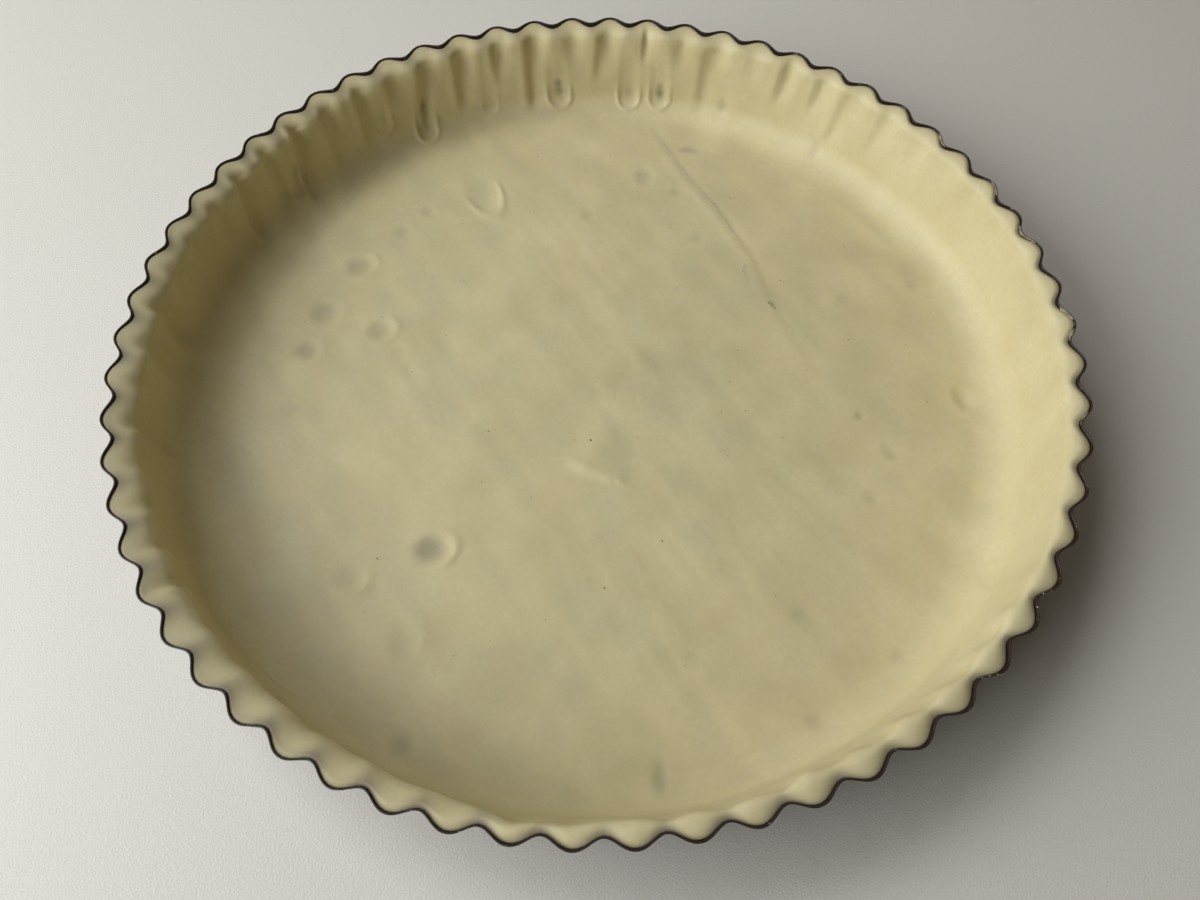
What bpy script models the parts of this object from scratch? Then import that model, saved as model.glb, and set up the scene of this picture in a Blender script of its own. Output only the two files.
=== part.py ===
"""An unbaked quiche case: raw shortcrust pastry pressed into the fluted metal tin that it is baked in.

The tin stands on z = 0, its axis is +Z, and one flute has its tip on +X. Lengths are in metres.
Both pieces are turned shapes. A profile is a list of (radius, height, rise) points: it goes round the
axis, and then each point moves out and in with the flutes by the rise that its profile point has.
"""

import math

import bmesh
import bpy
import numpy as np

MM = 0.001

# Tin: radii are the flutes' mean, on the outer side of the sheet
RIM_RADIUS = 140 * MM
TIN_HEIGHT = 35 * MM
BASE_RADIUS = 131 * MM  # the flat that the tin stands on
CORNER = 2.8 * MM  # width and height of the turn from the base to the wall
SHEET = 0.8 * MM
FLUTES = 62
RIM_RISE = 1.48 * MM  # how far a flute's tip stands out of the mean radius at the rim
CORNER_RISE = 1.0 * MM  # the same just above the corner; the base has no flutes

# Pastry
CLEARANCE = 0.5 * MM  # to the sheet; on a flute's slanted flank it comes to 0.3
FLOOR_DOUGH = 2.9 * MM
LIP_BELOW_RIM = 1.6 * MM  # where the lip meets the tin
CROWN_IN = 2.0 * MM  # the lip's highest line, seen from where it meets the tin
CROWN_UP = 0.9 * MM
EDGE_DOWN = 1.6 * MM  # the lip's inner edge, below where it meets the tin
EDGE_DOUGH = 4.6 * MM  # the wall's thickness there
FOOT_DOUGH = 3.6 * MM  # and at the foot of the wall
FILLET = 7.5 * MM  # radius of the hollow between the wall and the floor
FILLET_PARTS = 2
FADE = 7.0 * MM  # depth into the dough at which the flutes no longer show
WANDER = ((3, 0.35 * MM, 40), (7, 0.25 * MM, 110))  # waves round the case, their size, the first crest

# How finely the shapes are divided
STEPS_PER_FLUTE = 6
STEPS = FLUTES * STEPS_PER_FLUTE
MERGE = 0.05 * MM
SHARP = math.radians(50)


def clear_scene():
    """Removes everything that a new Blender file starts with."""
    for obj in list(bpy.data.objects):
        bpy.data.objects.remove(obj)


def new_collection(name):
    """A collection in the scene for the finished pieces."""
    collection = bpy.data.collections.new(name)
    bpy.context.scene.collection.children.link(collection)
    return collection


def new_material(name, colour, roughness, metallic):
    """A Principled material, its colour in linear RGB."""
    material = bpy.data.materials.new(name)
    material.use_nodes = True
    shader = material.node_tree.nodes["Principled BSDF"]
    shader.inputs["Base Color"].default_value = (*colour, 1.0)
    shader.inputs["Roughness"].default_value = roughness
    shader.inputs["Metallic"].default_value = metallic
    return material


def swept(name, profile, collection):
    """A mesh object made by turning the profile round +Z with a Screw modifier."""
    mesh = bpy.data.meshes.new(name)
    points = [(radius, 0.0, height) for radius, height, _ in profile]
    mesh.from_pydata(points, [(i, i + 1) for i in range(len(points) - 1)], [])
    obj = bpy.data.objects.new(name, mesh)
    collection.objects.link(obj)
    screw = obj.modifiers.new("turn", "SCREW")
    screw.steps = screw.render_steps = STEPS
    screw.use_merge_vertices = True
    screw.merge_threshold = MERGE
    evaluated = obj.evaluated_get(bpy.context.evaluated_depsgraph_get())
    obj.data = bpy.data.meshes.new_from_object(evaluated)
    obj.modifiers.clear()
    return obj


def flute(obj, profile):
    """Moves each point out or in with the flutes, by the rise of the profile point that it came from."""
    profile = np.array(profile)
    count = len(obj.data.vertices)
    places = np.empty(count * 3, np.float32)
    obj.data.vertices.foreach_get("co", places)
    places = places.reshape(count, 3).astype(float)
    radius = np.hypot(places[:, 0], places[:, 1])
    angle = np.arctan2(places[:, 1], places[:, 0])
    rings = np.stack([radius, places[:, 2]], axis=1)
    apart = np.linalg.norm(rings[:, None] - profile[None, :, :2], axis=2)
    moved = radius + profile[apart.argmin(axis=1), 2] * np.cos(FLUTES * angle)
    places[:, 0] = moved * np.cos(angle)
    places[:, 1] = moved * np.sin(angle)
    obj.data.vertices.foreach_set("co", places.astype(np.float32).ravel())
    obj.data.update()


def halve_columns(obj, radius, height):
    """Joins every second column of faces to the next, inside the radius and above the height."""
    mesh = bmesh.new()
    mesh.from_mesh(obj.data)
    column = 2 * math.pi / STEPS
    spare = []
    for edge in mesh.edges:
        inner, outer = sorted((vertex.co for vertex in edge.verts), key=lambda end: end.xy.length)
        if outer.xy.length > radius or min(inner.z, outer.z) < height:
            continue
        number = round(math.atan2(outer.y, outer.x) / column)
        if outer.xy.length - inner.xy.length > MERGE and number % 2:
            spare.append(edge)
    bmesh.ops.dissolve_edges(mesh, edges=spare, use_verts=True)
    mesh.to_mesh(obj.data)
    mesh.free()


def wander(obj, radius, height):
    """Lets the face inside the radius and above the height stand thicker and thinner as it goes round."""
    for vertex in obj.data.vertices:
        place = vertex.co
        if place.xy.length > radius or place.z < height:
            continue
        angle = math.atan2(place.y, place.x)
        more = sum(size * math.cos(waves * angle - math.radians(crest)) for waves, size, crest in WANDER)
        share = 1 - more / place.xy.length
        place.x *= share
        place.y *= share


def finish(obj, material):
    """Gives the piece its material and shades it smooth except at its sharp edges."""
    obj.data.materials.append(material)
    obj.data.shade_smooth()
    obj.data.set_sharp_from_angle(angle=SHARP)


def parallel(line, distance):
    """The profile moved inwards by distance, its corners mitred and its rises kept.

    The profile runs down the outer side of a turned shape, so inwards is to its right.
    """
    moved = []
    for i, (radius, height, rise) in enumerate(line):
        place = np.array([radius, height])
        runs = [place - line[i - 1][:2]] if i else []
        runs += [line[i + 1][:2] - place] if i + 1 < len(line) else []
        normals = [np.array([run[1], -run[0]]) / np.hypot(*run) for run in runs]
        mitre = normals[0] + normals[-1]
        place += distance * mitre / np.dot(mitre, normals[0])
        moved.append((place[0], place[1], rise))
    return moved


def tin_profile():
    """The tin's outer side, from the rim down to the middle of the base."""
    rim = (RIM_RADIUS, TIN_HEIGHT, RIM_RISE)
    wall_foot = (BASE_RADIUS + CORNER, CORNER, CORNER_RISE)
    return [rim, wall_foot, (BASE_RADIUS, 0.0, 0.0), (0.0, 0.0, 0.0)]


def hollow(floor_radius, foot_radius, floor_height, foot_height):
    """Points of the quarter round that turns the floor up into the wall, without its ends."""
    points = []
    for part in range(1, FILLET_PARTS):
        turn = math.radians(90 * part / FILLET_PARTS)
        radius = floor_radius + (foot_radius - floor_radius) * math.sin(turn)
        height = foot_height - (foot_height - floor_height) * math.cos(turn)
        points.append((radius, height, 0.0))
    return points


def pastry_profile():
    """The pastry's section, from the middle of its floor up the wall, over the lip and back underneath."""
    rim, wall_foot, base, middle = parallel(tin_profile(), SHEET + CLEARANCE)
    lean = (rim[0] - wall_foot[0]) / (rim[1] - wall_foot[1])

    def skin(height):
        """Radius of the side that faces the tin."""
        return wall_foot[0] + lean * (height - wall_foot[1])

    def kept(depth):
        """The flutes' rise at this depth into the dough."""
        return RIM_RISE * max(0.0, 1 - depth / FADE)

    lip_height = TIN_HEIGHT - LIP_BELOW_RIM
    lip = (skin(lip_height), lip_height, RIM_RISE)
    crown = (lip[0] - CROWN_IN, lip_height + CROWN_UP, kept(CROWN_IN))
    edge = (lip[0] - EDGE_DOUGH, lip_height - EDGE_DOWN, kept(EDGE_DOUGH))
    floor_height = middle[1] + FLOOR_DOUGH
    foot_height = floor_height + FILLET
    foot = (skin(foot_height) - FOOT_DOUGH, foot_height, kept(EDGE_DOUGH) / 2)
    floor_radius = foot[0] - FILLET
    floor = [(0.0, floor_height, 0.0), (floor_radius, floor_height, 0.0)]
    turn = hollow(floor_radius, foot[0], floor_height, foot_height)
    return [*floor, *turn, foot, edge, crown, lip, wall_foot, base, middle]


def make_tin(collection):
    """The fluted tin: an open turned sheet that a Solidify thickens inwards."""
    profile = tin_profile()
    tin = swept("quiche_tin", profile, collection)
    flute(tin, profile)
    sheet = tin.modifiers.new("sheet metal", "SOLIDIFY")
    sheet.thickness = SHEET
    sheet.offset = -1.0
    sheet.use_even_offset = True
    finish(tin, new_material("dark_coated_steel", (0.014, 0.008, 0.006), 0.38, 0.2))


def make_pastry(collection):
    """The pastry case: one closed turned shape that fills the flutes and is pressed smoother inside."""
    profile = pastry_profile()
    floor, foot, edge = profile[0], profile[-7], profile[-6]
    pastry = swept("pastry_case", profile, collection)
    halve_columns(pastry, foot[0] + MERGE, floor[1] - MERGE)
    flute(pastry, profile)
    wander(pastry, edge[0] + RIM_RISE, floor[1] + MERGE)
    finish(pastry, new_material("raw_shortcrust", (0.74, 0.67, 0.42), 0.55, 0.0))


clear_scene()
case = new_collection("quiche_case")
make_tin(case)
make_pastry(case)
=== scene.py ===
# %% [markdown]
# # An unbaked quiche case in its fluted tin
#
# Raw shortcrust pastry has been rolled out, laid in a dark coated tin with a fluted wall, and pressed
# home with the fingers. This lesson builds the two pieces that a kitchen would see, the tin and the
# pastry, and gives each the small marks that making leaves: the finger presses on the wall, the dents
# where the dough is thin, the crease of a fold, and the crumbs on the rim.
#
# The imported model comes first. It is a fixed frame: both pieces keep within its box, and its plain
# solids are hidden when the finished pieces stand for them.

# %% The fixed frame
import math
from functools import partial

import bpy
import numpy as np
from mathutils import Matrix


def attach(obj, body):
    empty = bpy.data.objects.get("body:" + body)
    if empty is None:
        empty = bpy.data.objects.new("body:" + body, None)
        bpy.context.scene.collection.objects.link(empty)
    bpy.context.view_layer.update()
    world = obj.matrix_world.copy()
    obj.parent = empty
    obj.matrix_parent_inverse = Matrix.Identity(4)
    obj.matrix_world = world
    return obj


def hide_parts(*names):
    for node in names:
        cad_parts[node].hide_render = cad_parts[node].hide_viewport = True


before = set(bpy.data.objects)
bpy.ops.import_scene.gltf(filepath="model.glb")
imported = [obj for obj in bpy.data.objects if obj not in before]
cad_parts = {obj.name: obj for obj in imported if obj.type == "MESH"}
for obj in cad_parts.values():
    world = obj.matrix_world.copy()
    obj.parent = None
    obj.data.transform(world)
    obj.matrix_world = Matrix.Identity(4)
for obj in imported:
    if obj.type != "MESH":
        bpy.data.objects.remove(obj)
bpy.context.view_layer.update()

MM = 0.001

# %% [markdown]
# ## Helpers for materials
#
# Colours are picked as sRGB hex codes, the way a colour picker shows them, but a shader works in linear
# light, so one function turns the one into the other. A second function adds a node to a tree, with its
# settings and its links, which keeps every node tree below down to one line for each node.

# %% Helpers for colours and nodes
def linear(code):
    """A hex colour such as 'dfd5ae' as linear RGBA."""
    parts = [int(code[i : i + 2], 16) / 255 for i in (0, 2, 4)]
    return (*[c / 12.92 if c <= 0.04045 else ((c + 0.055) / 1.055) ** 2.4 for c in parts], 1.0)


def feed(node, inputs):
    """Sets sockets of a node, each to a value or to another node's output."""
    for socket, value in inputs.items():
        if isinstance(value, bpy.types.NodeSocket):
            node.id_data.links.new(value, node.inputs[socket])
        else:
            node.inputs[socket].default_value = value


def add_node(tree, kind, inputs=None, give=0, **settings):
    """Adds a node with its settings and inputs, and gives one of its outputs, or all when give is None.

    A kind without Node in its name is one of the shader nodes: "Math" stands for "ShaderNodeMath".
    """
    made = tree.nodes.new(kind if "Node" in kind else "ShaderNode" + kind)
    for name, value in settings.items():
        setattr(made, name, value)
    feed(made, inputs or {})
    return made.outputs if give is None else made.outputs[give]


def new_material(name):
    """A material, a function that adds nodes to it, its Principled shader, and the object's coordinates."""
    material = bpy.data.materials.new(name)
    material.use_nodes = True
    add = partial(add_node, material.node_tree)
    return material, add, material.node_tree.nodes["Principled BSDF"], add("TexCoord", give="Object")


# %% [markdown]
# ## Camera and light
#
# The camera stands in front of the tin and looks steeply down on it, so the near wall is seen almost
# edge on and the far wall opens up. The light is one broad window to the left: it shines over the left
# wall, which throws a soft shadow on the floor of the case, and falls full on the right wall.

# %% The camera
def put(name, data):
    """A new object in the scene, at the origin."""
    made = bpy.data.objects.new(name, data)
    bpy.context.scene.collection.objects.link(made)
    return made


LENS, SENSOR = 27.222, 36.0  # in mm
CAMERA_PLACE = (0.94 * MM, -159.7 * MM, 251.6 * MM)
TURN, LOOK_DOWN, ROLL = -0.47, 28.775, -0.445  # degrees: round the tin, up from straight down, and tilt

camera_data = bpy.data.cameras.new("camera")
camera_data.lens = LENS
camera_data.sensor_width = SENSOR
camera = put("camera", camera_data)
stand = Matrix.Rotation(math.radians(TURN), 4, "Z") @ Matrix.Translation(CAMERA_PLACE)
aim = Matrix.Rotation(math.radians(LOOK_DOWN), 4, "X") @ Matrix.Rotation(math.radians(ROLL), 4, "Z")
camera.matrix_world = stand @ aim
bpy.context.scene.camera = camera
bpy.context.scene.view_settings.view_transform = "Standard"
print("camera at", [round(x / MM, 1) for x in camera.matrix_world.translation], "mm")

# %% The window and the room
def area_light(name, azimuth, elevation, distance, width, height, watts, colour):
    """A rectangular light that faces the tin from a compass angle and a height angle, in degrees."""
    data = bpy.data.lights.new(name, "AREA")
    data.shape = "RECTANGLE"
    data.size, data.size_y = width, height
    data.energy = watts
    data.color = linear(colour)[:3]
    lamp = put(name, data)
    a, e = math.radians(azimuth), math.radians(elevation)
    flat = distance * math.cos(e)
    lamp.location = (flat * math.cos(a), flat * math.sin(a), distance * math.sin(e))
    lamp.rotation_mode = "QUATERNION"
    lamp.rotation_quaternion = lamp.location.to_track_quat("Z", "Y")


area_light("window", 194, 33, 1.0, 1.04, 0.72, 10.7, "f8fbff")
area_light("sky", 150, 60, 1.1, 0.4, 0.4, 2.9, "f8fbff")
area_light("room", 270, 45, 1.6, 1.0, 1.0, 0.6, "ffeed2")
area_light("far_wall", 70, 40, 0.9, 0.7, 0.7, 0.5, "fff4e2")

world = bpy.data.worlds.new("room")
bpy.context.scene.world = world
world.use_nodes = True
feed(world.node_tree.nodes["Background"], {"Color": linear("fff0d8"), "Strength": 0.035})

# %% [markdown]
# ## The table
#
# A pale grey laminate with the fine pebbled skin that is pressed into such boards. It is only a stage
# for the piece, so it is one large sheet, with the pebbles in its bump.

# %% The table top
def mesh_object(name, points, faces):
    """A mesh object at the origin, shaded smooth, from points in millimetres."""
    mesh = bpy.data.meshes.new(name)
    mesh.from_pydata((np.asarray(points) * MM).tolist(), [], faces)
    mesh.shade_smooth()
    return put(name, mesh)


TABLE_HALF = 3000
corners = [(x * TABLE_HALF, y * TABLE_HALF, 0) for x, y in ((-1, -1), (1, -1), (1, 1), (-1, 1))]
table = mesh_object("table_top", corners, [(0, 1, 2, 3)])

laminate, add, shader, where = new_material("pebbled_laminate")
pebbles = add("TexNoise", {"Vector": where, "Scale": 1 / (0.6 * MM), "Detail": 1.0, "Roughness": 0.5})
bump = add("Bump", {"Height": pebbles, "Strength": 1.0, "Distance": 0.10 * MM})
feed(shader, {"Base Color": linear("e3ded4"), "Roughness": 0.5, "Normal": bump})
table.data.materials.append(laminate)

# %% [markdown]
# ## The tin
#
# The tin is pressed from one sheet of steel. Its wall leans out and is fluted, its rim is a bare cut
# edge that the coating has rounded, and its base is flat. The whole shape is a turned profile, so a
# Screw turns it, and the flutes follow one rule, a cosine that goes round sixty-two times and grows
# from the foot to the rim. A rule is what Geometry Nodes are for: the tree below moves each point of
# the plain turned tin out or in by that cosine.

# %% Sizes of the tin
FLUTES = 62
RIM_RADIUS, TIN_HEIGHT = 140.0, 35.0  # the wall's outer side, mean of the flutes, in mm
FOOT_RADIUS, FOOT_HEIGHT = 133.8, 2.8
RIM_RISE, FOOT_RISE = 1.48, 1.0
SHEET = 0.48
RIM_ROUND = 0.25  # half the thickness of the rounded rim
RIM_PROUD = 0.06  # how far the rounded rim stands above the wall's height
BASE_RINGS = [0, 60, 118, 126]  # radii of the flat base's rings
WALL_FOOT = 131  # from the last of them to here the flutes fade in
WALL_HEIGHTS = [4.5, 8, 13, 18, 23, 28, 32, 33.6]
CORNER_ROUND = 2.4
STEPS_PER_FLUTE, MERGE = 20, 0.01
POINTED = -0.07  # the second wave, which makes the tips a little blunter than the valleys
LEAN = (RIM_RADIUS - FOOT_RADIUS) / (TIN_HEIGHT - FOOT_HEIGHT)


def tin_radius(height):
    """The wall's outer side, mean of the flutes."""
    return FOOT_RADIUS + LEAN * (height - FOOT_HEIGHT)


def rise(height):
    """How far a flute stands out at this height."""
    return np.interp(height, [FOOT_HEIGHT, TIN_HEIGHT], [FOOT_RISE, RIM_RISE])


def flute(angle):
    """The flutes' wave round the tin, 1 at a tip and about -1 in a valley."""
    return np.cos(FLUTES * angle) + POINTED * (np.cos(2 * FLUTES * angle) - 1)


def arc(centre, radius, start, end, parts):
    """Points on a round, in the plane of radius and height, angles in degrees."""
    turns = np.radians(np.linspace(start, end, parts))
    return [(centre[0] + radius * math.cos(t), centre[1] + radius * math.sin(t)) for t in turns]


print("tin leans", round(math.degrees(math.atan(LEAN)), 1), "degrees")

# %% The turned tin
outer_corner = (FOOT_RADIUS - CORNER_ROUND, CORNER_ROUND)
rim_centre = (RIM_RADIUS - RIM_ROUND, TIN_HEIGHT - RIM_ROUND + RIM_PROUD)
profile = [
    *[(r, 0) for r in BASE_RINGS],
    *arc(outer_corner, CORNER_ROUND, -90, -12, 6),
    *[(tin_radius(z), z) for z in WALL_HEIGHTS],
    *arc(rim_centre, RIM_ROUND, -30, 190, 10),
    *[(tin_radius(z) - SHEET, z) for z in reversed(WALL_HEIGHTS)],
    *arc(outer_corner, CORNER_ROUND - SHEET, -12, -90, 5),
    *[(r, SHEET) for r in reversed(BASE_RINGS)],
]

sheet = bpy.data.meshes.new("sheet")
along_it = [(i, i + 1) for i in range(len(profile) - 1)]
sheet.from_pydata([(r * MM, 0.0, z * MM) for r, z in profile], along_it, [])
tin = put("fluted_tin", sheet)
turn = tin.modifiers.new("turn", "SCREW")
turn.steps = turn.render_steps = FLUTES * STEPS_PER_FLUTE
turn.use_merge_vertices = True
turn.merge_threshold = MERGE * MM
turn.use_normal_calculate = True


def apply_modifiers(obj):
    """Turns what the modifiers make into the object's own plain mesh."""
    evaluated = obj.evaluated_get(bpy.context.evaluated_depsgraph_get())
    obj.data = bpy.data.meshes.new_from_object(evaluated)
    obj.modifiers.clear()


apply_modifiers(tin)
print("turned tin:", len(tin.data.polygons), "faces")

# %% [markdown]
# ### The flutes
#
# The tree reads each point's angle and height, works out the wave and the rise, and moves the point
# straight out from the axis. Below the foot the rise fades to nothing, so the base stays flat. Its
# named inputs are the sizes above, so the same tree would flute a tin of any size.

# %% A tree that flutes a turned wall
def tree_with_inputs(name, numbers):
    """A Geometry Nodes tree, a function that adds nodes to it, and its inputs: geometry, numbers, material."""
    made = bpy.data.node_groups.new(name, "GeometryNodeTree")
    kinds = {label: "Int" if label == "Seed" else "Float" for label in numbers}
    for label, kind in {"Geometry": "Geometry", **kinds, "Material": "Material"}.items():
        made.interface.new_socket(label, in_out="INPUT", socket_type="NodeSocket" + kind)
    made.interface.new_socket("Geometry", in_out="OUTPUT", socket_type="NodeSocketGeometry")
    add = partial(add_node, made)
    return made, add, add("NodeGroupInput", give=None)


def run_tree(obj, made, values):
    """Puts the tree on the object, sets its inputs by their identifiers, and keeps the mesh that it makes."""
    modifier = obj.modifiers.new(made.name, "NODES")
    modifier.node_group = made
    for item in made.interface.items_tree:
        if item.in_out == "INPUT" and item.name in values:
            modifier[item.identifier] = values[item.name]
    apply_modifiers(obj)


numbers = ["Flutes", "Foot height", "Rim height", "Foot rise", "Rim rise", "Pointed"]
flutes, add, given = tree_with_inputs("flutes", numbers)
place = add("SeparateXYZ", {0: add("GeometryNodeInputPosition")}, give=None)
angle = add("Math", {0: place["Y"], 1: place["X"]}, operation="ARCTAN2")
waves = add("Math", {0: angle, 1: given["Flutes"]}, operation="MULTIPLY")
wave = add("Math", {0: waves}, operation="COSINE")
twice = add("Math", {0: waves, 1: 2.0}, operation="MULTIPLY")
second = add("Math", {0: twice}, operation="COSINE")
lower = add("Math", {0: second, 1: 1.0}, operation="SUBTRACT")
blunt = add("Math", {0: lower, 1: given["Pointed"], 2: wave}, operation="MULTIPLY_ADD")
limits = {"From Min": given["Foot height"], "From Max": given["Rim height"]}
rises = {"To Min": given["Foot rise"], "To Max": given["Rim rise"]}
grown = add("MapRange", {"Value": place["Z"], **limits, **rises})
foot = {"Value": place["Z"], "From Min": 0.0, "From Max": given["Foot height"]}
footed = add("MapRange", foot, interpolation_type="SMOOTHSTEP")
flat_xy = add("CombineXYZ", {"X": place["X"], "Y": place["Y"]})
radius = add("VectorMath", {0: flat_xy}, "Value", operation="LENGTH")
wall = {"Value": radius, "From Min": BASE_RINGS[-1] * MM, "From Max": WALL_FOOT * MM}
on_wall = add("MapRange", wall, interpolation_type="SMOOTHSTEP")
faded = add("Math", {0: footed, 1: on_wall}, operation="MULTIPLY")
size = add("Math", {0: grown, 1: faded}, operation="MULTIPLY")
out = add("Math", {0: size, 1: blunt}, operation="MULTIPLY")
way = add("VectorMath", {0: flat_xy}, operation="NORMALIZE")
step = add("VectorMath", {0: way, "Scale": out}, operation="SCALE")
moved = add("GeometryNodeSetPosition", {"Geometry": given["Geometry"], "Offset": step})
plain = add("GeometryNodeRealizeInstances", {0: moved})
dressed = add("GeometryNodeSetMaterial", {"Geometry": plain, "Material": given["Material"]})
add("NodeGroupOutput", {"Geometry": dressed}, give=None)

# %% [markdown]
# ### The coating
#
# Such tins are steel with a baked non-stick coating, a dark brown that looks black, with a soft sheen.
# It has worn off in specks along the rim, where the bare steel glints.

# %% Dark non-stick coating
coating, add, shader, where = new_material("dark_nonstick_coating")
height_here = add("SeparateXYZ", {0: where}, "Z")
skin_grain = add("TexNoise", {"Vector": where, "Scale": 1 / (1.2 * MM), "Detail": 3.0})
patches = add("TexNoise", {"Vector": where, "Scale": 1 / (14 * MM), "Detail": 2.0})
browns = {"Factor": patches, "A": linear("20130f"), "B": linear("31221c")}
tone = add("Mix", browns, "Result", data_type="RGBA")
near_rim = add("MapRange", {"Value": height_here, "From Min": 34.3 * MM, "From Max": 34.9 * MM})
chips = add("TexNoise", {"Vector": where, "Scale": 1 / (2.2 * MM), "Detail": 2.0})
chipped = add("MapRange", {"Value": chips, "From Min": 0.66, "From Max": 0.72})
worn = add("Math", {0: chipped, 1: near_rim}, operation="MULTIPLY")
colour = add("Mix", {"Factor": worn, "A": tone, "B": linear("b3a898")}, "Result", data_type="RGBA")
bump = add("Bump", {"Height": skin_grain, "Strength": 0.35, "Distance": 0.06 * MM})
feed(shader, {"Base Color": colour, "Metallic": worn, "Normal": bump})
feed(shader, {"Roughness": 0.36, "Specular IOR Level": 0.6})

# %% Fluting the tin
lengths = {"Foot height": FOOT_HEIGHT, "Rim height": TIN_HEIGHT, "Foot rise": FOOT_RISE, "Rim rise": RIM_RISE}
sizes = {label: length * MM for label, length in lengths.items()}
run_tree(tin, flutes, {"Flutes": float(FLUTES), **sizes, "Pointed": POINTED, "Material": coating})
tin.data.shade_smooth()
print("tin:", len(tin.data.polygons), "faces,", [round(side / MM, 2) for side in tin.dimensions], "mm")

# %% [markdown]
# ## The pastry
#
# The pastry is one soft skin with no rule to follow, so it is written as a grid of points: rings from
# the middle of the floor out to the lip, each ring with the same number of columns as the tin has
# twelfths of a flute. The shape is worked out in three steps: the plain section, the relief that the
# fingers leave, and the side that the tin presses into flutes.

# %% Helpers for soft shapes
def bell(distance, width):
    """1 at no distance, falling softly to nothing at about twice the width."""
    return np.exp(-((distance / width) ** 2))


def ramp(value, start, end):
    """0 at start and 1 at end, smooth in between."""
    share = np.clip((value - start) / (end - start), 0, 1)
    return share * share * (3 - 2 * share)


def noise(x, y, size, seed):
    """Smooth noise between -1 and 1 over a plane, with hills of about this size in mm."""
    cells = 96
    table_of = np.random.default_rng(seed).uniform(-1, 1, (cells, cells))
    u, v = np.asarray(x) / size, np.asarray(y) / size
    i, j = np.floor(u).astype(int), np.floor(v).astype(int)
    a, b = ramp(u - i, 0, 1), ramp(v - j, 0, 1)
    rows = [[table_of[(i + p) % cells, (j + q) % cells] for p in (0, 1)] for q in (0, 1)]
    low, high = [left * (1 - a) + right * a for left, right in rows]
    return low * (1 - b) + high * b


def line_noise(mm, size, seed):
    """The same noise along a line."""
    return noise(mm, 0 * mm, size, seed)


def polar(radius, turn):
    """x and y of places at this radius, turned round the axis by these radians."""
    return radius * np.cos(turn), radius * np.sin(turn)


def round_table(degrees, stations):
    """A value that goes smoothly round the case, from a dictionary of stations in degrees."""
    at, values = np.array(sorted(stations.items())).T
    at = np.concatenate([at - 360, at, at + 360])
    values = np.tile(values, 3)
    fine = np.arange(-360, 720, 0.25)
    straight = np.interp(fine, at, values)
    window = np.hanning(13)
    smooth = np.convolve(straight, window / window.sum(), "same")
    return np.interp(np.mod(degrees, 360), fine, smooth)


# %% [markdown]
# ### Dents in the floor
#
# A fingertip that presses a little too hard leaves a shallow round dent. The dough is thin there, so the
# dark tin shows through as a grey stain, and the dough that was pushed aside stands as a low crescent.

# %% Dents in the floor
# x and y in mm, width across, depth, grey, and for some the height of the crescent and the way in degrees
# that it was pushed, and for long ones the length against the width, and the turn in degrees
DENTS = [
    (-82.3, 51.5, 10, 0.5, 0.2, 0.22, -15, 1.1, 25),
    (-91.5, 31, 11, 0.45, 0.17, 0.16, -5),
    (-72.2, 23.7, 9.5, 0.45, 0.15, 0.22, -10),
    (-95.5, 15.4, 9, 0.4, 0.2, 0.14, -20),
    (-97.2, -7.6, 7, 0.15, 0.08),
    (-48.9, -56, 10.2, 0.6, 0.38, 0.42, -12, 1.15, 5),
    (-72.4, -64.7, 9, 0.25, 0.1, 0.16, -40, 1.1, 0),
    (-54.8, -82.7, 9, 0.25, 0.09, 0.12, -20, 1.4, 90),
    (-64.6, -68.5, 6, 0.12, 0.05),
    (-60.1, 76.5, 6, 0.25, 0.1, 0.08, -30),
    (-68.2, 66.5, 6.5, 0.25, 0.1, 0.08, -30),
    (-41.3, 86.2, 11, 0.3, 0.04, 0.5, -50, 2, 115),
    (19.1, 92.2, 10, 0.25, 0.19, 0.05, -60, 0.8, 0),
    (30.6, 83.8, 6, 0.15, 0.1),
    (37.3, 105.5, 3.6, 0.35, 0.26, 0.16, -90, 2.6, -8),
    (36.9, 62.2, 6, 0.15, 0.1),
    (-2.2, 73.7, 6, 0.15, 0.08),
    (83.5, -12.8, 4, 0.4, 0.18, 0.12, 0),
    (90.9, -26.8, 5, 0.25, 0.16, 0.05, 0, 1.8, -60),
    (82.7, -41.7, 6, 0.15, 0.1),
    (85.3, 33.8, 6, 0.15, 0.1),
    (109.5, 39.2, 6, 0.2, 0.12, 0.05, 0),
    (117.6, -6.6, 6.6, 0.75, 0.05, 0.3, 190, 1.5, 100),
    (56.7, -78, 6, 0.12, 0.1),
    (14.9, -120.5, 5, 0.25, 0.24, 0.05, 0, 2.2, 88),
    (-52.2, -111.6, 7, 0.2, 0.18, 0, 0, 1.3, 40),
    (82.3, -90.3, 6, 0.15, 0.12),
    (57, -107.5, 6, 0.15, 0.12),
    (25.3, -89.8, 6, 0.15, 0.08),
]


def turned_by(x, y, way):
    """Places seen along a direction in radians: how far along it, and how far across."""
    c, s = math.cos(way), math.sin(way)
    return x * c + y * s, -x * s + y * c


def dents(x, y):
    """The height that the dents add to the floor, and how much grey each place has."""
    height, grey = np.zeros_like(x), np.zeros_like(x)
    for at_x, at_y, width, depth, stain, *more in DENTS:
        crescent, pushed, length, turned = (*more, *(0, 0, 1, 0)[len(more) :])
        dx, dy = x - at_x, y - at_y
        along, across = turned_by(dx, dy, math.radians(turned))
        along = along / length
        out = np.hypot(along, across) / (width / 2)
        side = np.cos(np.arctan2(dy, dx) - math.radians(pushed))
        height -= depth * (1 - ramp(out, 0.2, 1.2))
        height += crescent * bell(out - 1.2, 0.19) * np.clip(0.3 + 0.7 * side, 0, 1)
        grey += stain * (1 - ramp(np.hypot(along + 0.1 * width, across) / (width / 2), 0.25, 1.15))
    return height, grey


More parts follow.
